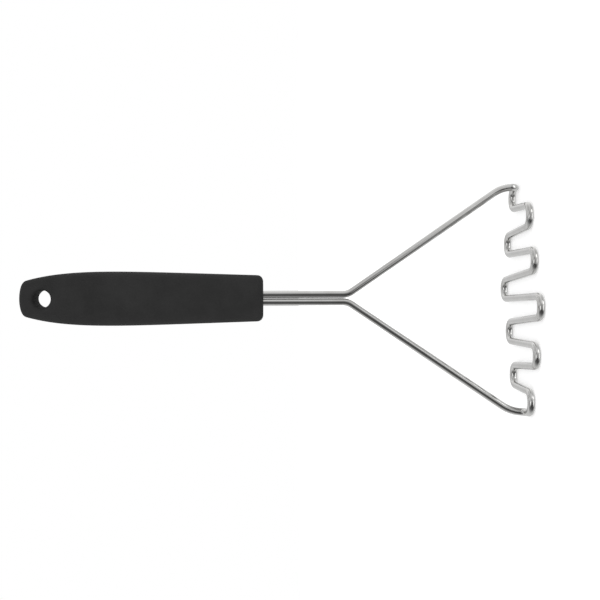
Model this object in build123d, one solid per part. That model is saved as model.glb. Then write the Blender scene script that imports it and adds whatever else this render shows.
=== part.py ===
from build123d import *
import math
import os

# Potato masher standing on its head: the wire plane rests on z = 0 and the handle points along +Z.
# X runs across the width of the head, Y through its depth. Lengths are in millimetres.

# Wire
wire_diameter = 3.8
shank_gap = 0.15
fork_height = 91.6
fork_bend_radius = 8.0
knee_height = 10.1
knee_bend_radius = 18.0
foot_bend_radius = 3.4
foot_depth = 9.0
foot_lean = 0.7

# Head, measured to the middle of the wire
head_half_width = 58.0
head_half_depth = 32.3
turn_width = 10.1
turn_bend_radius = 4.8

# Each turn from the outside of the head to its middle: its centre as a share of the half width,
# and its reach to the far (+) or near (-) side as a share of the half depth
turn_shares = (
    (0.897, 0.545),
    (0.714, -0.430),
    (0.482, 0.805),
    (0.324, -0.678),
    (0.065, 1.000),
)

# Tails of the wire inside the handle
tail_length = 74.0
tail_splay_start = 7.0
tail_splay = 4.2
coin_length = 9.0
coin_width = 5.4
coin_thickness = 2.4
coin_corner_radius = 1.4
coin_place_shares = (0.45, 0.82)
wire_clearance = 0.05
web_relief_thickness = 1.6
web_relief_run = 8.0

# Handle
front_height = 135.0
handle_length = 122.5
front_half_width = 11.75
width_gain = 3.96
width_drop = 7.2
front_half_thickness = 8.29
thickness_gain = 3.8
thickness_drop = 10.76
tongue_return = 5.52
side_round_share = 0.93
outline_steps = 8
front_edge_radius = 3.0
butt_dome_radius = 30.0
butt_edge_radius = 2.6

# Soft grip around the rigid core
skin_thickness = 2.2
bond_clearance = 0.05
key_groove_depth = 0.9
key_groove_width = 4.0
key_groove_shares = (0.22, 0.42, 0.62)

# Hang hole through the butt
hole_radius = 4.4
hole_from_butt = 11.8
hole_lining = 1.6
hole_rim_radius = 2.4

overrun = 20.0
standing = (Align.CENTER, Align.CENTER, Align.MIN)

wire_radius = wire_diameter / 2
shank_offset = (wire_diameter + shank_gap) / 2
butt_height = front_height + handle_length
hole_height = butt_height - hole_from_butt


def tail_points():
    """Tail of the +X shank, from its end inside the handle down to the parallel stretch."""
    tail_end = Vector(shank_offset + tail_splay, 0, front_height + tail_length)
    splay_corner = Vector(shank_offset, 0, front_height + tail_splay_start)
    return [tail_end, splay_corner]


def half_route():
    """Corners of the +X half of the wire, from the tail to the last turn before the middle, with their radii."""
    points = tail_points()
    radii = [fork_bend_radius]
    foot = Vector(head_half_width, foot_depth, wire_radius)
    points.append(Vector(shank_offset, 0, fork_height))
    radii.append(fork_bend_radius)
    points.append(Vector(head_half_width - foot_lean, foot_depth, knee_height))
    radii.append(knee_bend_radius)
    points.append(foot)
    radii.append(foot_bend_radius)
    for centre_share, reach_share in turn_shares:
        centre = centre_share * head_half_width
        reach = reach_share * head_half_depth
        for side in (1, -1):
            points.append(Vector(centre + side * turn_width / 2, reach, wire_radius))
            radii.append(turn_bend_radius)
    return points, radii


def wire_path():
    """Whole path of the wire: the second half is the first turned half a circle about the handle."""
    points, radii = half_route()
    turned = [Vector(-p.X, -p.Y, p.Z) for p in reversed(points)]
    return FilletPolyline(*points, *turned, radius=radii + radii[::-1])


def rod(path, radius):
    """Round bar along a path."""
    start = Plane(origin=path @ 0, z_dir=path % 0)
    return sweep(start * Circle(radius), path=path)


def on_both_tails(solid):
    """A tail's feature and its copy on the second shank."""
    return [solid, solid.rotate(Axis.Z, 180)]


def coin_plates(clearance):
    """Flattened stretches of both tails, squeezed thin and wide so that the handle can't turn or slip."""
    tail_end, splay_corner = tail_points()
    along = (tail_end - splay_corner).normalized()
    plates = []
    for share in coin_place_shares:
        centre = splay_corner + (tail_end - splay_corner) * share
        outline = RectangleRounded(
            coin_length + 2 * clearance,
            coin_width + 2 * clearance,
            coin_corner_radius,
        )
        plate = extrude(outline, (coin_thickness + 2 * clearance) / 2, both=True)
        place = Plane(origin=centre, x_dir=along, z_dir=(0, 1, 0))
        plates += on_both_tails(place * plate)
    return plates


def coin_recesses():
    """Metal taken off both faces of each flattened stretch."""
    tail_end, splay_corner = tail_points()
    along = (tail_end - splay_corner).normalized()
    recesses = []
    for share in coin_place_shares:
        centre = splay_corner + (tail_end - splay_corner) * share
        block = Box(coin_length, coin_width, wire_diameter)
        for side in (1, -1):
            lift = side * (coin_thickness + wire_diameter) / 2
            place = Plane(origin=centre + Vector(0, lift, 0), x_dir=along, z_dir=(0, 1, 0))
            recesses += on_both_tails(place * block)
    return recesses


def masher_wire():
    """One wire: two tails, two shanks side by side, two arms and the winding head between them."""
    wire = rod(wire_path(), wire_radius)
    wire -= coin_recesses()
    wire += coin_plates(0)
    return wire


def tail_channels():
    """Room that the tails take up in the handle."""
    tail_end, splay_corner = tail_points()
    along = (tail_end - splay_corner).normalized()
    start_below = Vector(shank_offset, 0, front_height - overrun)
    path = FilletPolyline(tail_end + along * wire_clearance, splay_corner, start_below, radius=[fork_bend_radius])
    channels = on_both_tails(rod(path, wire_radius + wire_clearance))
    relief_length = overrun + tail_splay_start + web_relief_run
    relief = Box(2 * shank_offset, web_relief_thickness, relief_length, align=standing)
    return channels + coin_plates(wire_clearance) + [Pos(0, 0, front_height - overrun) * relief]


def oval(half_width, half_thickness):
    """Closed outline of four tangent arcs: two gently crowned faces and two round sides."""
    side_radius = side_round_share * half_thickness
    offset = half_width - side_radius
    face_radius = (offset**2 + half_thickness**2 - side_radius**2) / (2 * (half_thickness - side_radius))
    drop = face_radius - half_thickness
    turn = math.degrees(math.atan2(drop, offset))
    arcs = [
        CenterArc((offset, 0), side_radius, -turn, 2 * turn),
        CenterArc((0, -drop), face_radius, turn, 180 - 2 * turn),
        CenterArc((-offset, 0), side_radius, 180 - turn, 2 * turn),
        CenterArc((0, drop), face_radius, 180 + turn, 180 - 2 * turn),
    ]
    return make_face(Wire(arcs))


def half_width(along):
    """Half width of the handle: it grows steadily from the front, then draws in quickly at the butt."""
    return front_half_width + width_gain * along - width_drop * along**6


def half_thickness(along):
    """Half thickness of the handle: a full middle that thins to a flat tongue for the hang hole."""
    belly = front_half_thickness + thickness_gain * along - thickness_drop * along**4
    return belly + tongue_return * along**7


def handle_form(inset):
    """Outer form of the handle with square end edges, or the same form drawn in on all sides by an inset."""
    sections = []
    for step in range(outline_steps + 1):
        along = step / outline_steps
        outline = oval(half_width(along) - inset, half_thickness(along) - inset)
        sections.append(Pos(0, 0, front_height + along * handle_length) * outline)
    form = loft(sections)
    dome_centre = butt_height - butt_dome_radius
    column = Cylinder(butt_dome_radius - inset, dome_centre - front_height - inset, align=standing)
    dome = Sphere(butt_dome_radius - inset)
    return form & (Pos(0, 0, front_height + inset) * column + Pos(0, 0, dome_centre) * dome)


def core_form(growth):
    """Outside of the rigid core with its key grooves, or the cavity that it fills when grown by a clearance."""
    inset = skin_thickness - growth
    form = handle_form(inset)
    deep_form = handle_form(inset + key_groove_depth)
    slab_size = 2 * (front_half_width + overrun)
    for share in key_groove_shares:
        height = front_height + share * handle_length
        slab = Box(slab_size, slab_size, key_groove_width - 2 * growth)
        form -= Pos(0, 0, height) * slab - deep_form
    return form


def hole_bar(radius):
    """Bar through the hang hole's place, along Y."""
    return Pos(0, 0, hole_height) * Rot(90, 0, 0) * Cylinder(radius, 2 * (front_half_thickness + overrun))


def handle_core():
    """Rigid inner handle moulded around the tails, with the larger hole that the soft lining passes through."""
    core = core_form(0)
    core -= hole_bar(hole_radius + hole_lining + bond_clearance)
    core -= tail_channels()
    return core


def soft_grip():
    """Soft skin around the core; it also lines the hang hole and rounds its rims."""
    grip = handle_form(0)
    grip = fillet(grip.faces().sort_by(Axis.Z)[0].edges(), front_edge_radius)
    grip = fillet(grip.faces().sort_by(Axis.Z)[-1].edges(), butt_edge_radius)
    grip -= hole_bar(hole_radius)
    rims = grip.edges().filter_by(lambda edge: abs(edge.center().Z - hole_height) < hole_radius)
    rims = rims.filter_by(lambda edge: abs(edge.center().X) < hole_radius)
    grip = fillet(rims, hole_rim_radius)
    grip -= core_form(bond_clearance) - hole_bar(hole_radius + hole_lining)
    grip -= tail_channels()
    return grip


def main():
    os.makedirs("parts", exist_ok=True)
    pieces = {
        "masher_wire": masher_wire(),
        "handle_core": handle_core(),
        "soft_grip": soft_grip(),
    }
    for name, shape in pieces.items():
        export_step(shape, "parts/" + name + ".step")


main()
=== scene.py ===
import math

import bmesh
import bpy
from mathutils import Matrix, Vector


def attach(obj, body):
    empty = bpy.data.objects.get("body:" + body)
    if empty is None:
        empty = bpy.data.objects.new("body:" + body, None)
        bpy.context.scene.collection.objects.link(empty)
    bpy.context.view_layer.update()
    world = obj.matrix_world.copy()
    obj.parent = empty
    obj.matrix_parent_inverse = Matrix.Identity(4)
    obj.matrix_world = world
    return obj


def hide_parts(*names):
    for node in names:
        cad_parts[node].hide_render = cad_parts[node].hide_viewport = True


# Potato masher standing on its head: the head's wire rests on z = 0, and the handle points along +Z.
# X runs across the width of the head, Y through its depth. Everything is in metres.
mm = 0.001

# Wire
wire_radius = 1.9 * mm
shank_offset = 1.975 * mm
fork_height = 91.6 * mm
fork_bend_radius = 8.0 * mm
knee_height = 10.1 * mm
knee_bend_radius = 18.0 * mm
foot_bend_radius = 3.4 * mm
foot_depth = 9.0 * mm
foot_lean = 0.7 * mm

# Head, measured to the middle of the wire
head_half_width = 58.0 * mm
head_half_depth = 32.3 * mm
turn_width = 10.1 * mm
turn_bend_radius = 4.8 * mm

# Each turn from the outside of the head to its middle: its centre as a share of the half width,
# and its reach to the far (+) or near (-) side as a share of the half depth
turn_shares = (
    (0.897, 0.545),
    (0.714, -0.430),
    (0.482, 0.805),
    (0.324, -0.678),
    (0.065, 1.000),
)

# Tails of the wire inside the handle
tail_length = 74.0 * mm
tail_splay_start = 7.0 * mm
tail_splay = 4.2 * mm
tail_chamfer = 0.4 * mm
tail_end_share = 0.8

# Places where the tails are pressed flat: the press starts a little before each place and reaches
# its full depth over a short fade
coin_length = 9.0 * mm
coin_width = 5.4 * mm
coin_thickness = 2.4 * mm
coin_place_shares = (0.45, 0.82)
coin_overhang = 1.0 * mm
coin_fade = 1.2 * mm

# Rings of the wire: their sides, the longest step between them, and how much a bend wears the polish
wire_sides = 36
run_step = 3.0 * mm
tail_step = 1.0 * mm
bend_step = math.radians(7.5)
fewest_bend_steps = 3
tight_bend_radius = 5.0 * mm
tight_bend_wear = 1.0
wide_bend_wear = 0.3

# Handle
front_height = 135.0 * mm
handle_length = 122.5 * mm
front_half_width = 11.75 * mm
width_gain = 3.96 * mm
width_drop = 7.2 * mm
front_half_thickness = 8.29 * mm
thickness_gain = 3.8 * mm
thickness_drop = 10.76 * mm
tongue_return = 5.52 * mm
side_round_share = 0.93
front_edge_radius = 3.0 * mm
butt_dome_radius = 30.0 * mm
butt_edge_radius = 2.6 * mm
skin_thickness = 1.9 * mm
hole_radius = 4.4 * mm
hole_from_butt = 11.8 * mm
hole_rim_radius = 2.4 * mm
butt_height = front_height + handle_length
hole_height = butt_height - hole_from_butt
dome_centre = Vector((0, 0, butt_height - butt_dome_radius))

# Opening that both shanks leave by: the room round the wire, and half of the web between the shanks
slot_clearance = 0.05 * mm
slot_half_web = 0.8 * mm

# Rings from the front's edge into the opening: the first is a smaller copy of the edge, and each other one
# stands off the opening and lies behind the front by the lengths given, which rounds the opening's edge
cap_share = 0.8
slot_rings = (
    (1.6 * mm, 0.0),
    (0.35 * mm, 0.0),
    (0.1 * mm, 0.1 * mm),
    (0.0, 0.4 * mm),
    (0.0, 1.6 * mm),
)

# Columns of the grip on each of its round sides and on each face, and rows up to and across the hang hole
side_columns = 36
face_columns = 24
half_columns = side_columns + face_columns
all_columns = 2 * half_columns
body_rows = 44
hole_rows = 18
edge_steps = 8
dome_shares = (0.15, 0.32, 0.5, 0.68, 0.84)

# Patch of each face that the hang hole is cut from, and the rings that lead from it to the rim
patch_half_columns = 17
patch_half_height = 8.1 * mm
rim_ring_radius = 7.1 * mm
rim_ring_shares = (0.35, 0.7, 1.0)

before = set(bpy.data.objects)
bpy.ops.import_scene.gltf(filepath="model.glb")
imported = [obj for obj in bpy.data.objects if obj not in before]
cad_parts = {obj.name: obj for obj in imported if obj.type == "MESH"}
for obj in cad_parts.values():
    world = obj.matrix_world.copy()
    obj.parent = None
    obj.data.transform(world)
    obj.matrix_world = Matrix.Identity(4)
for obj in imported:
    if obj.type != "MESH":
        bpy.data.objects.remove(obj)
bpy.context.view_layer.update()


def new_piece(name, bm, material):
    """Object with its place in its mesh, from a finished bmesh."""
    mesh = bpy.data.meshes.new(name)
    bm.to_mesh(mesh)
    bm.free()
    mesh.materials.append(material)
    piece = bpy.data.objects.new(name, mesh)
    bpy.context.scene.collection.objects.link(piece)
    return piece


def linear(hex_colour):
    """Linear red, green, blue and alpha of an sRGB hex colour."""
    channels = [int(hex_colour[i : i + 2], 16) / 255 for i in (1, 3, 5)]
    shares = [c / 12.92 if c <= 0.04045 else ((c + 0.055) / 1.055) ** 2.4 for c in channels]
    return (*shares, 1.0)


def add_node(tree, kind, settings=None, **links):
    """Adds a node with its settings. Each named input gets a value, or a link from another node's output;
    an input that shares its name with others is named by its number: i0, i1 and so on."""
    node = tree.nodes.new(kind)
    for key, value in (settings or {}).items():
        setattr(node, key, value)
    for key, value in links.items():
        numbered = key[0] == "i" and key[1:].isdigit()
        socket = node.inputs[int(key[1:]) if numbered else key.replace("_", " ")]
        if isinstance(value, bpy.types.NodeSocket):
            tree.links.new(value, socket)
        else:
            socket.default_value = value
    return node


def new_material(name):
    """Empty node material: the material itself, its tree and its shader."""
    material = bpy.data.materials.new(name)
    material.use_nodes = True
    tree = material.node_tree
    return material, tree, tree.nodes["Principled BSDF"]


# Rings of vertices that a piece grows by


def between(ring):
    """The edges that join the vertices of one ring."""
    verts = set(ring)
    return [edge for edge in {e for v in ring for e in v.link_edges} if verts.issuperset(edge.verts)]


def extruded_ring(bm, ring):
    """Vertices extruded from a ring, still at its place and in no set order."""
    grown = bmesh.ops.extrude_edge_only(bm, edges=between(ring))["geom"]
    return [item for item in grown if isinstance(item, bmesh.types.BMVert)]


def pushed_ring(bm, ring, move):
    """Ring extruded from the last one along a straight move."""
    new = extruded_ring(bm, ring)
    bmesh.ops.translate(bm, verts=new, vec=move)
    return new


def spun_ring(bm, ring, centre, axis, angle):
    """Ring spun from the last one round a bend."""
    geom = ring + between(ring)
    grown = bmesh.ops.spin(bm, geom=geom, cent=centre, axis=axis, angle=angle, steps=1, use_merge=False)
    return [item for item in grown["geom_last"] if isinstance(item, bmesh.types.BMVert)]


def placed_ring(bm, ring, place):
    """Ring extruded from the last one, each vertex put where place says, by its number in the ring."""
    number = {tuple(vert.co): index for index, vert in enumerate(ring)}
    new = sorted(extruded_ring(bm, ring), key=lambda vert: number[tuple(vert.co)])
    for index, vert in enumerate(new):
        vert.co = place(index)
    return new


# Stainless steel wire


def tail_points():
    """Tail of the +X shank: its end inside the handle, and the corner where it leaves the straight shank."""
    tail_end = Vector((shank_offset + tail_splay, 0, front_height + tail_length))
    splay_corner = Vector((shank_offset, 0, front_height + tail_splay_start))
    return tail_end, splay_corner


def half_route():
    """Corners of the +X half of the wire and their bends' radii, from its tail to the head's middle."""
    tail_end, splay_corner = tail_points()
    route = [(tail_end, 0)]
    route.append((splay_corner, fork_bend_radius))
    route.append((Vector((shank_offset, 0, fork_height)), fork_bend_radius))
    route.append((Vector((head_half_width - foot_lean, foot_depth, knee_height)), knee_bend_radius))
    route.append((Vector((head_half_width, foot_depth, wire_radius)), foot_bend_radius))
    for centre_share, reach_share in turn_shares:
        centre = centre_share * head_half_width
        reach = reach_share * head_half_depth
        for side in (1, -1):
            route.append((Vector((centre + side * turn_width / 2, reach, wire_radius)), turn_bend_radius))
    return route


def whole_route():
    """Corners of the whole wire: the second half is the first turned half a circle about the handle."""
    route = half_route()
    turned = [(Vector((-corner.x, -corner.y, corner.z)), radius) for corner, radius in reversed(route)]
    return route + turned


def wire_piece(material):
    """The masher's one wire, grown ring by ring along its runs and round its bends."""
    bm = bmesh.new()
    place_on_rod = bm.verts.layers.float_vector.new("place_on_rod")
    bend_share = bm.verts.layers.float.new("bend_share")
    route = whole_route()
    corners = [corner for corner, radius in route]
    last = len(route) - 1
    here = corners[0]
    heading = (corners[1] - here).normalized()
    ring = bmesh.ops.create_circle(bm, segments=wire_sides, radius=wire_radius, cap_ends=False)["verts"]
    for vert in ring:
        vert[place_on_rod] = vert.co.copy()
    start = Matrix.Translation(here) @ heading.to_track_quat("Z", "Y").to_matrix().to_4x4()
    bmesh.ops.transform(bm, matrix=start, verts=ring)
    rings = [(ring, here.copy())]
    travelled = 0.0

    def keep(ring, centre, bend):
        """Lists a ring, and notes where its vertices lay on the straight rod and how they were bent."""
        for vert in ring:
            across = vert[place_on_rod]
            vert[place_on_rod] = (across.x, across.y, travelled)
            vert[bend_share] = bend
        rings.append((ring, centre.copy()))

    for index in range(1, last + 1):
        corner, radius = route[index]
        heading = (corner - here).normalized()
        turn = 0.0
        if index < last:
            leaving = (corners[index + 1] - corner).normalized()
            turn = heading.angle(leaving)
        setback = radius * math.tan(turn / 2)
        run = (corner - here).length - setback
        steps = max(1, math.ceil(run / (tail_step if index in (1, last) else run_step)))
        for _ in range(steps):
            ring = pushed_ring(bm, ring, heading * (run / steps))
            travelled += run / steps
            here = here + heading * (run / steps)
            keep(ring, here, 0.0)
        if not turn:
            continue
        axis = heading.cross(leaving).normalized()
        centre = here + axis.cross(heading) * radius
        wear = tight_bend_wear if radius < tight_bend_radius else wide_bend_wear
        steps = max(fewest_bend_steps, math.ceil(turn / bend_step))
        for step in range(1, steps + 1):
            ring = spun_ring(bm, ring, centre, axis, turn / steps)
            travelled += radius * turn / steps
            here = centre + Matrix.Rotation(turn / steps, 3, axis) @ (here - centre)
            keep(ring, here, wear * math.sin(math.pi * step / steps))
        here = corner + leaving * setback
    finish_tail_end(bm, rings[0][0], corners[0], corners[1])
    finish_tail_end(bm, ring, corners[-1], corners[-2])
    squeeze_coins(rings)
    bmesh.ops.recalc_face_normals(bm, faces=bm.faces)
    for face in bm.faces:
        face.smooth = len(face.verts) == 4
    return new_piece("masher_wire_drawn", bm, material)


def finish_tail_end(bm, ring, end, inner):
    """Closes the sheared end of a tail, with a chamfer."""
    outward = (end - inner).normalized()
    cut = extruded_ring(bm, ring)
    bmesh.ops.translate(bm, verts=ring, vec=-outward * tail_chamfer)
    for vert in cut:
        vert.co = end + (vert.co - end) * tail_end_share
    bmesh.ops.contextual_create(bm, geom=cut + between(cut))


def squeeze_coins(rings):
    """Presses the tails flat in two places each, inside the handle."""
    tail_end, splay_corner = tail_points()
    press_reach = coin_length / 2 + coin_overhang
    for side in (1, -1):
        for share in coin_place_shares:
            middle = splay_corner.lerp(tail_end, share)
            along = (tail_end - splay_corner).normalized()
            middle.x *= side
            along.x *= side
            across = Vector((along.z, 0, -along.x))
            for ring, centre in rings:
                offset = abs((centre - middle).dot(along))
                if (centre - middle).length > coin_length or offset > press_reach:
                    continue
                press = min(1.0, (press_reach - offset) / coin_fade)
                for vert in ring:
                    out = vert.co - centre
                    wide = out.dot(across) * (coin_width / (2 * wire_radius) - 1) * press
                    thin = out.y * (coin_thickness / (2 * wire_radius) - 1) * press
                    vert.co += across * wide + Vector((0, thin, 0))


# Soft grip


def half_width(along):
    """Half width of the handle at a share of its length from the front."""
    return front_half_width + width_gain * along - width_drop * along**6


def half_thickness(along):
    """Half thickness of the handle at a share of its length from the front."""
    belly = front_half_thickness + thickness_gain * along - thickness_drop * along**4
    return belly + tongue_return * along**7


def oval_arcs(height):
    """The handle's outline at a height: its side arc's radius and offset, its crown arc's radius and drop,
    and the turn at which they meet."""
    along = (height - front_height) / handle_length
    wide = half_width(along)
    thick = half_thickness(along)
    side = side_round_share * thick
    offset = wide - side
    crown = (offset**2 + thick**2 - side**2) / (2 * (thick - side))
    drop = crown - thick
    return side, offset, crown, drop, math.atan2(drop, offset)


def oval_point(column, height, inset=0.0):
    """Point of one column on the handle's outline at a height, or a parallel inset inside it.
    Columns run round from the middle of the +X side."""
    side, offset, crown, drop, turn = oval_arcs(height)
    column = (column + side_columns / 2) % all_columns
    flip = -1 if column >= half_columns else 1
    column = column % half_columns
    if column <= side_columns:
        angle = -turn + 2 * turn * column / side_columns
        reach = side - inset
        point = Vector((offset + reach * math.cos(angle), reach * math.sin(angle), 0))
    else:
        angle = turn + (math.pi - 2 * turn) * (column - side_columns) / face_columns
        reach = crown - inset
        point = Vector((reach * math.cos(angle), reach * math.sin(angle) - drop, 0))
    return Vector((flip * point.x, flip * point.y, height))


def face_depth(across, height):
    """How far the handle's face stands from its middle plane, at a place across it and a height."""
    side, offset, crown, drop, turn = oval_arcs(height)
    across = abs(across)
    if across <= crown * math.cos(turn):
        return math.sqrt(crown**2 - across**2) - drop
    return math.sqrt(max(0.0, side**2 - (across - offset) ** 2))


def butt_ball(column):
    """Ball that rolls in the edge between a column of the side and the domed butt: its centre,
    and its directions to the side and to the dome, where it touches them."""
    outward = (oval_point(column, hole_height) - oval_point(column, hole_height, mm)).normalized()
    low, high = hole_height + hole_from_butt / 2, butt_height
    lean = (oval_point(column, high) - oval_point(column, low)).dot(outward) / (high - low)
    inset = butt_edge_radius * math.sqrt(1 + lean**2)
    for _ in range(30):
        middle = (low + high) / 2
        reach = (oval_point(column, middle, inset) - dome_centre).length
        low, high = (middle, high) if reach < butt_dome_radius - butt_edge_radius else (low, middle)
    centre = oval_point(column, low, inset)
    side_touch = (outward - Vector((0, 0, lean))).normalized()
    dome_touch = (centre - dome_centre).normalized()
    return centre, side_touch, dome_touch


def on_butt_edge(column, share):
    """Point of a column on the rounded edge of the butt, from the side (0) to the dome (1)."""
    centre, side_touch, dome_touch = butt_ball(column)
    return centre + side_touch.slerp(dome_touch, share) * butt_edge_radius


def on_dome(column, share):
    """Point of a column on the domed butt, from its rounded edge (0) to the middle (1)."""
    edge = butt_ball(column)[2]
    return dome_centre + edge.slerp(Vector((0, 0, 1)), share) * butt_dome_radius


def slot_reach(angle):
    """Distance from the middle to the edge of the opening that both shanks come out of."""
    cover = wire_radius + slot_clearance
    along = shank_offset * abs(math.cos(angle))
    aside = shank_offset * math.sin(angle)
    reach = along + math.sqrt(cover**2 - aside**2) if abs(aside) < cover else 0.0
    if slot_half_web * abs(math.cos(angle)) < abs(aside):
        reach = max(reach, slot_half_web / abs(math.sin(angle)))
    return reach


def grip_side(bm):
    """Grows the grip from its rounded front edge to its domed butt.
    Gives the front's ring, and the rings of the patch that the hang hole is cut from."""
    body_low = front_height + front_edge_radius
    patch_low = hole_height - patch_half_height
    heights = [body_low + (patch_low - body_low) * (row + 1) / body_rows for row in range(body_rows)]
    heights += [patch_low + 2 * patch_half_height * (row + 1) / hole_rows for row in range(hole_rows)]
    circle = bmesh.ops.create_circle(bm, segments=all_columns, radius=front_half_width, cap_ends=False)
    ring = circle["verts"]
    ring.sort(key=lambda vert: math.atan2(vert.co.y, vert.co.x) % (2 * math.pi))
    for column, vert in enumerate(ring):
        vert.co = oval_point(column, front_height, front_edge_radius)
    front_ring = ring
    for step in range(1, edge_steps + 1):
        turn = math.pi / 2 * step / edge_steps
        inset = front_edge_radius * (1 - math.sin(turn))
        height = front_height + front_edge_radius * (1 - math.cos(turn))
        ring = placed_ring(bm, ring, lambda column: oval_point(column, height, inset))
    rows = []
    for height in heights:
        ring = placed_ring(bm, ring, lambda column: oval_point(column, height))
        rows.append(ring)
    for step in range(edge_steps + 1):
        ring = placed_ring(bm, ring, lambda column: on_butt_edge(column, step / edge_steps))
    for share in dome_shares:
        ring = placed_ring(bm, ring, lambda column: on_dome(column, share))
    bmesh.ops.contextual_create(bm, geom=ring)
    return front_ring, rows[body_rows - 1 :]


def shank_opening(bm, front_ring):
    """Closes the grip's flat front down to the opening that both shanks leave by, with a rounded edge."""
    front_points = [vert.co.copy() for vert in front_ring]

    def on_cap(column):
        point = front_points[column]
        return Vector((point.x * cap_share, point.y * cap_share, front_height))

    def on_slot(stand_off, depth):
        def place(column):
            angle = math.atan2(front_points[column].y, front_points[column].x)
            reach = slot_reach(angle) + stand_off
            return Vector((reach * math.cos(angle), reach * math.sin(angle), front_height + depth))

        return place

    ring = placed_ring(bm, front_ring, on_cap)
    for stand_off, depth in slot_rings:
        ring = placed_ring(bm, ring, on_slot(stand_off, depth))


def toward_hole(start, face_side, share, radius):
    """Moves a loop on one face from its start, by a share of the way, to a circle round the hang hole."""

    def place(index):
        across, up = start[index].x, start[index].z - hole_height
        angle = math.atan2(up, across)
        new_across = across + (radius * math.cos(angle) - across) * share
        new_height = hole_height + up + (radius * math.sin(angle) - up) * share
        return Vector((new_across, face_side * face_depth(new_across, new_height), new_height))

    return place


def hang_hole(bm, rows):
    """Cuts the hang hole through both faces of the grip, lines it and rounds its rims."""
    rims = []
    for face_side, middle in ((1, all_columns // 4), (-1, 3 * all_columns // 4)):
        steps = range(-patch_half_columns, patch_half_columns + 1)
        patch = [[ring[(middle + step) % all_columns] for step in steps] for ring in rows]
        inside = {vert for row in patch[1:-1] for vert in row[1:-1]}
        edge = {vert for row in patch for vert in row} - inside
        bmesh.ops.delete(bm, geom=list(inside), context="VERTS")
        loop = sorted(edge, key=lambda vert: math.atan2(vert.co.z - hole_height, vert.co.x))
        start = [vert.co.copy() for vert in loop]
        for share in rim_ring_shares:
            loop = placed_ring(bm, loop, toward_hole(start, face_side, share, rim_ring_radius))
        rims.append(placed_ring(bm, loop, toward_hole(start, face_side, 1.0, hole_radius)))
    rim_edges = between(rims[0]) + between(rims[1])
    bmesh.ops.bridge_loops(bm, edges=rim_edges)
    bmesh.ops.bevel(
        bm,
        geom=rim_edges,
        offset=hole_rim_radius,
        offset_type="OFFSET",
        affect="EDGES",
        segments=edge_steps,
        profile=0.5,
        material=-1,
        loop_slide=True,
    )


def grip_piece(material):
    """Soft skin of the handle, with its wall."""
    bm = bmesh.new()
    front_ring, patch_rows = grip_side(bm)
    shank_opening(bm, front_ring)
    hang_hole(bm, patch_rows)
    bmesh.ops.recalc_face_normals(bm, faces=bm.faces)
    for face in bm.faces:
        face.smooth = True
    piece = new_piece("soft_grip_skin", bm, material)
    wall = piece.modifiers.new("skin_wall", "SOLIDIFY")
    wall.thickness = skin_thickness
    wall.offset = -1
    return piece


# Materials

# Palm polish on the grip: the height of its middle, how far from there it is full and where it ends
palm_height = front_height + 60 * mm
palm_full = 15 * mm
palm_end = 45 * mm

# Parting line of the grip's tool: full height up to here from the middle plane, and nothing from there on
parting_full = 0.05 * mm
parting_end = 0.22 * mm


def polished_wire():
    """Drawn 18/8 stainless steel wire, tumble polished after bending: bright, with faint lines along it,
    slightly duller where the bending pins pressed and stretched it."""
    material, tree, shader = new_material("drawn_stainless_wire")
    rod = add_node(tree, "ShaderNodeAttribute", {"attribute_name": "place_on_rod"})
    bent = add_node(tree, "ShaderNodeAttribute", {"attribute_name": "bend_share"})
    # Drawing lines: about 0.1 mm apart in reality, drawn at 0.35 mm so that they show; they run about 30 mm
    stretched = add_node(tree, "ShaderNodeMapping", Vector=rod.outputs["Vector"], Scale=(1.0, 1.0, 0.012))
    lines = add_node(
        tree, "ShaderNodeTexNoise", Vector=stretched.outputs[0], Scale=2800.0, Detail=3.0, Roughness=0.6
    )
    # Handling and drying marks, about 8 mm across
    clouds = add_node(
        tree, "ShaderNodeTexNoise", Vector=rod.outputs["Vector"], Scale=120.0, Detail=4.0, Roughness=0.55
    )
    tint = add_node(tree, "ShaderNodeValToRGB", Fac=clouds.outputs[0])
    tint.color_ramp.elements[0].position = 0.3
    tint.color_ramp.elements[0].color = linear("#bdbcba")
    tint.color_ramp.elements[1].position = 0.7
    tint.color_ramp.elements[1].color = linear("#c9c9c8")
    tree.links.new(tint.outputs[0], shader.inputs["Base Color"])
    shader.inputs["Metallic"].default_value = 1.0
    # Polish: duller under the marks, at the bends and along the drawing lines
    gloss = add_node(tree, "ShaderNodeMapRange", Value=clouds.outputs[0], i1=0.3, i2=0.7, i3=0.08, i4=0.13)
    dull = add_node(
        tree,
        "ShaderNodeMath",
        {"operation": "MULTIPLY_ADD"},
        i0=bent.outputs["Fac"],
        i1=0.06,
        i2=gloss.outputs[0],
    )
    fine = add_node(
        tree,
        "ShaderNodeMath",
        {"operation": "MULTIPLY_ADD"},
        i0=lines.outputs[0],
        i1=0.08,
        i2=dull.outputs[0],
    )
    tree.links.new(fine.outputs[0], shader.inputs["Roughness"])
    bump = add_node(tree, "ShaderNodeBump", Height=lines.outputs[0], Strength=0.12, Distance=0.02 * mm)
    tree.links.new(bump.outputs[0], shader.inputs["Normal"])
    return material


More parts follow.
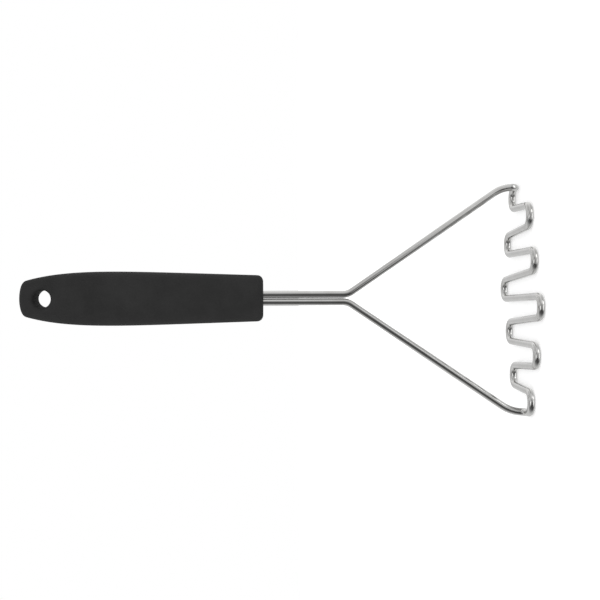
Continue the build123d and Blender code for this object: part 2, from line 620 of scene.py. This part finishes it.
def moulded_rubber():
    """Black thermoplastic rubber moulded in a spark-textured tool: matte, with a fine even grain whose pits
    carry painted shade in the colour, a little glossier where hands have rubbed it, and a thin line where
    the halves of the tool met."""
    material, tree, shader = new_material("moulded_black_rubber")
    place = add_node(tree, "ShaderNodeTexCoord").outputs["Object"]
    # Spark texture: grain of 0.1 mm, drawn at 0.45 mm so that it shows
    grain = add_node(tree, "ShaderNodeTexNoise", Vector=place, Scale=2200.0, Detail=2.0, Roughness=0.7)
    # Hand polish and dust, about 15 mm across
    rub = add_node(tree, "ShaderNodeTexNoise", Vector=place, Scale=60.0, Detail=5.0, Roughness=0.6)
    # Painted shade: the colour is painted darker in the pits of the grain than on its tops, added to the
    # dust tone
    grain_pit_shade_and_dust = add_node(
        tree,
        "ShaderNodeMath",
        {"operation": "MULTIPLY_ADD"},
        i0=grain.outputs[0],
        i1=0.5,
        i2=rub.outputs[0],
    )
    tint = add_node(tree, "ShaderNodeValToRGB", Fac=grain_pit_shade_and_dust.outputs[0])
    tint.color_ramp.elements[0].position = 0.5
    tint.color_ramp.elements[0].color = linear("#2c2c2c")
    tint.color_ramp.elements[1].position = 1.0
    tint.color_ramp.elements[1].color = linear("#373737")
    tree.links.new(tint.outputs[0], shader.inputs["Base Color"])
    rough = add_node(tree, "ShaderNodeMapRange", Value=rub.outputs[0], i1=0.3, i2=0.7, i3=0.68, i4=0.8)
    # The palm and fingers polish the middle of the grip, which is less rough there
    axes = add_node(tree, "ShaderNodeSeparateXYZ", Vector=place)
    from_palm = add_node(
        tree, "ShaderNodeMath", {"operation": "SUBTRACT"}, i0=axes.outputs["Z"], i1=palm_height
    )
    off_palm = add_node(tree, "ShaderNodeMath", {"operation": "ABSOLUTE"}, i0=from_palm.outputs[0])
    palm = add_node(
        tree,
        "ShaderNodeMapRange",
        {"interpolation_type": "SMOOTHSTEP"},
        Value=off_palm.outputs[0],
        i1=palm_full,
        i2=palm_end,
        i3=-0.07,
        i4=0.0,
    )
    worn = add_node(tree, "ShaderNodeMath", {"operation": "ADD"}, i0=rough.outputs[0], i1=palm.outputs[0])
    tree.links.new(worn.outputs[0], shader.inputs["Roughness"])
    shader.inputs["Specular IOR Level"].default_value = 0.07
    # The parting line, about 0.25 mm wide, runs on the middle plane of the handle
    aside = add_node(tree, "ShaderNodeMath", {"operation": "ABSOLUTE"}, i0=axes.outputs["Y"])
    ridge = add_node(
        tree, "ShaderNodeMapRange", Value=aside.outputs[0], i1=parting_full, i2=parting_end, i3=1.0, i4=0.0
    )
    relief = add_node(
        tree,
        "ShaderNodeMath",
        {"operation": "MULTIPLY_ADD"},
        i0=grain.outputs[0],
        i1=0.25,
        i2=ridge.outputs[0],
    )
    bump = add_node(tree, "ShaderNodeBump", Height=relief.outputs[0], Strength=0.7, Distance=0.1 * mm)
    tree.links.new(bump.outputs[0], shader.inputs["Normal"])
    return material


def moulded_core():
    """Glass-filled polypropylene, injection moulded: rigid, dark and slightly streaked by the fibres."""
    material, tree, shader = new_material("moulded_polypropylene")
    place = add_node(tree, "ShaderNodeTexCoord").outputs["Object"]
    # Fibre streaks, about 1 mm across and 5 mm along the handle
    flow = add_node(tree, "ShaderNodeMapping", Vector=place, Scale=(1.0, 1.0, 0.2))
    streaks = add_node(
        tree, "ShaderNodeTexNoise", Vector=flow.outputs[0], Scale=900.0, Detail=3.0, Roughness=0.6
    )
    tint = add_node(tree, "ShaderNodeValToRGB", Fac=streaks.outputs[0])
    tint.color_ramp.elements[0].color = linear("#1d1d1e")
    tint.color_ramp.elements[1].color = linear("#2b2b2c")
    tree.links.new(tint.outputs[0], shader.inputs["Base Color"])
    rough = add_node(tree, "ShaderNodeMapRange", Value=streaks.outputs[0], i1=0.3, i2=0.7, i3=0.42, i4=0.55)
    tree.links.new(rough.outputs[0], shader.inputs["Roughness"])
    bump = add_node(tree, "ShaderNodeBump", Height=streaks.outputs[0], Strength=0.2, Distance=0.03 * mm)
    tree.links.new(bump.outputs[0], shader.inputs["Normal"])
    return material


# Studio

white_light = (1, 1, 1, 1)

# Light on matt surfaces: an even level all round, and how much more of it comes from the camera's side
even_light = 0.79
front_light = 0.38
front_direction = (-0.14, -0.99, 0.0)

# Brightness of the room that polished metal shows, by the direction in degrees round the handle:
# 0 is the camera's side, 90 the +X side, 180 the backdrop
room_levels = (
    (-180, 0.75),
    (-150, 0.85),
    (-120, 0.92),
    (-100, 0.86),
    (-85, 0.68),
    (-70, 0.44),
    (-58, 0.26),
    (-45, 0.14),
    (-30, 0.08),
    (-15, 0.08),
    (0, 0.13),
    (12, 0.26),
    (24, 0.52),
    (36, 0.8),
    (60, 0.96),
    (90, 1.1),
    (120, 1.3),
    (150, 1.15),
    (180, 0.75),
)

# Soft lamps under and over the camera, small bright ones beside them, and grey cards that take light away:
# direction in degrees round the handle and above the floor, angles to the edge and to full strength,
# and brightness
room_lamps = (
    (4, -58, 32, 20, 0.42),
    (4, 58, 32, 20, 0.42),
    (-3, -58, 15, 9, 1.6),
    (-6, 38, 13, 7, 1.2),
    (2, 25, 14, 8, 0.45),
    (42, -46, 16, 10, 2.0),
    (-52, -18, 18, 8, -0.12),
    (84, -50, 42, 28, -0.32),
    (84, 50, 42, 28, -0.32),
)

# Strip lamp low in front of the head: its middle, its size and its brightness
head_lamp_place = (70 * mm, -220 * mm, -32 * mm)
head_lamp_width = 260 * mm
head_lamp_height = 88 * mm
head_lamp_level = 0.48

# Floor: its radius, the white that is added to it under the masher, and the distances between which
# that grows to full white
floor_radius = 4.0
floor_lift = 0.42
floor_lift_grows = 0.2
floor_lift_full = 0.6

# Camera: where it aims, how far off it is, how it is turned in radians, and its lens
camera_aim = Vector((-0.952 * mm, 0, 116.18 * mm))
camera_distance = 429.45 * mm
camera_rise = 0.03105
camera_round = 0.0231
camera_roll = -0.00303
picture_width = 600
focal_length_in_pixels = 838.8


def lamp_patch(tree, direction, turn, lift, edge, full, level):
    """Round soft patch of brightness in the room, nothing outside it."""
    turn, lift = math.radians(turn), math.radians(lift)
    middle = (math.sin(turn) * math.cos(lift), -math.cos(turn) * math.cos(lift), math.sin(lift))
    nearness = add_node(tree, "ShaderNodeVectorMath", {"operation": "DOT_PRODUCT"}, i0=direction, i1=middle)
    return add_node(
        tree,
        "ShaderNodeMapRange",
        {"interpolation_type": "SMOOTHSTEP"},
        Value=nearness.outputs["Value"],
        i1=math.cos(math.radians(edge)),
        i2=math.cos(math.radians(full)),
        i3=0.0,
        i4=level,
    ).outputs[0]


def room_round(tree, direction):
    """Brightness of the room in a direction, as polished metal shows it."""
    axes = add_node(tree, "ShaderNodeSeparateXYZ", Vector=direction)
    toward = add_node(tree, "ShaderNodeMath", {"operation": "MULTIPLY"}, i0=axes.outputs["Y"], i1=-1.0)
    azimuth = add_node(
        tree, "ShaderNodeMath", {"operation": "ARCTAN2"}, i0=axes.outputs["X"], i1=toward.outputs[0]
    )
    share = add_node(tree, "ShaderNodeMapRange", Value=azimuth.outputs[0], i1=-math.pi, i2=math.pi)
    brightest = max(level for degrees, level in room_levels)
    room = add_node(tree, "ShaderNodeValToRGB", Fac=share.outputs[0])
    stops = room.color_ramp.elements
    stops.remove(stops[1])
    for degrees, level in room_levels:
        stop = stops.new((degrees + 180) / 360) if degrees > -180 else stops[0]
        stop.color = (level / brightest, level / brightest, level / brightest, 1)
    shade = add_node(tree, "ShaderNodeMath", {"operation": "MULTIPLY"}, i0=room.outputs[0], i1=brightest)
    for lamp in room_lamps:
        lit = lamp_patch(tree, direction, *lamp)
        shade = add_node(tree, "ShaderNodeMath", {"operation": "ADD"}, i0=shade.outputs[0], i1=lit)
    return shade.outputs[0]


def any_ray(tree, path, kinds):
    """1 for rays of the kinds that are named, else 0."""
    found = path.outputs[kinds[0]]
    for kind in kinds[1:]:
        either = add_node(tree, "ShaderNodeMath", {"operation": "MAXIMUM"}, i0=found, i1=path.outputs[kind])
        found = either.outputs[0]
    return found


def studio_world():
    """World: plain white to the camera, and an even soft light on the object, stronger from the front.
    Polished metal sees the room round it, with its lamps and grey cards, dark on the camera's side."""
    world = bpy.data.worlds.new("studio")
    bpy.context.scene.world = world
    world.use_nodes = True
    tree = world.node_tree
    background = tree.nodes["Background"]
    path = add_node(tree, "ShaderNodeLightPath")
    direction = add_node(tree, "ShaderNodeTexCoord").outputs["Generated"]
    front = add_node(
        tree, "ShaderNodeVectorMath", {"operation": "DOT_PRODUCT"}, i0=direction, i1=front_direction
    )
    matt = add_node(
        tree,
        "ShaderNodeMath",
        {"operation": "MULTIPLY_ADD"},
        i0=front.outputs["Value"],
        i1=front_light,
        i2=even_light,
    )
    on_object = add_node(
        tree,
        "ShaderNodeMix",
        {"data_type": "FLOAT"},
        i0=path.outputs["Is Glossy Ray"],
        i2=matt.outputs[0],
        i3=room_round(tree, direction),
    )
    seen = any_ray(tree, path, ("Is Camera Ray", "Is Transmission Ray"))
    level = add_node(tree, "ShaderNodeMix", {"data_type": "FLOAT"}, i0=seen, i2=on_object.outputs[0], i3=1.0)
    tree.links.new(level.outputs[0], background.inputs["Strength"])
    background.inputs["Color"].default_value = white_light


def paper_floor():
    """White paper floor: it keeps the object's soft shadow nearby and fades into the backdrop."""
    material, tree, shader = new_material("white_paper")
    tree.nodes.remove(shader)
    path = add_node(tree, "ShaderNodeLightPath")
    place = add_node(tree, "ShaderNodeTexCoord").outputs["Object"]
    reach = add_node(tree, "ShaderNodeVectorMath", {"operation": "LENGTH"}, i0=place)
    far = add_node(
        tree,
        "ShaderNodeMapRange",
        {"interpolation_type": "SMOOTHSTEP"},
        Value=reach.outputs["Value"],
        i1=floor_lift_grows,
        i2=floor_lift_full,
        i3=floor_lift,
        i4=1.0,
    )
    seen = any_ray(tree, path, ("Is Camera Ray", "Is Glossy Ray", "Is Transmission Ray"))
    lift = add_node(tree, "ShaderNodeMath", {"operation": "MULTIPLY"}, i0=far.outputs[0], i1=seen)
    paper = add_node(tree, "ShaderNodeBsdfDiffuse", Color=linear("#f2f2f2"))
    glow = add_node(tree, "ShaderNodeEmission", Color=white_light, Strength=lift.outputs[0])
    both = add_node(tree, "ShaderNodeAddShader", i0=paper.outputs[0], i1=glow.outputs[0])
    tree.links.new(both.outputs[0], tree.nodes["Material Output"].inputs["Surface"])
    bm = bmesh.new()
    bmesh.ops.create_circle(bm, cap_ends=True, segments=64, radius=floor_radius)
    floor = new_piece("floor", bm, material)
    floor.visible_glossy = False


def head_lamp():
    """Strip lamp that only reflections show, as a soft light along the near turns of the head."""
    lamp = bpy.data.lights.new("head_lamp", "AREA")
    lamp.shape = "RECTANGLE"
    lamp.size = head_lamp_width
    lamp.size_y = head_lamp_height
    lamp.energy = head_lamp_level * math.pi * head_lamp_width * head_lamp_height
    holder = bpy.data.objects.new("head_lamp", lamp)
    holder.matrix_world = Matrix.Translation(head_lamp_place) @ Matrix.Rotation(math.pi / 2, 4, "X")
    holder.visible_camera = False
    holder.visible_diffuse = False
    holder.visible_transmission = False
    bpy.context.scene.collection.objects.link(holder)


def camera():
    """Camera square to the masher's face, on its side so that the handle points left in the picture."""
    level = math.cos(camera_rise)
    back = Vector((math.sin(camera_round) * level, -math.cos(camera_round) * level, math.sin(camera_rise)))
    right = Vector((0, 0, -1)) + back * back.z
    right.normalize()
    up = back.cross(right)
    roll_cos, roll_sin = math.cos(camera_roll), math.sin(camera_roll)
    right, up = right * roll_cos + up * roll_sin, up * roll_cos - right * roll_sin
    lens = bpy.data.cameras.new("camera")
    lens.sensor_width = 36
    lens.lens = lens.sensor_width * focal_length_in_pixels / picture_width
    lens.clip_start = 10 * mm
    holder = bpy.data.objects.new("camera", lens)
    turn = Matrix((right, up, back)).transposed().to_4x4()
    holder.matrix_world = Matrix.Translation(camera_aim + back * camera_distance) @ turn
    bpy.context.scene.collection.objects.link(holder)
    bpy.context.scene.camera = holder


wire = wire_piece(polished_wire())
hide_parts("masher_wire")
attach(wire, "root")

grip = grip_piece(moulded_rubber())
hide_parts("soft_grip")
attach(grip, "root")

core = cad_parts["handle_core"]
core.data.materials.clear()
core.data.materials.append(moulded_core())

studio_world()
paper_floor()
head_lamp()
camera()
bpy.context.scene.view_settings.view_transform = "Standard"
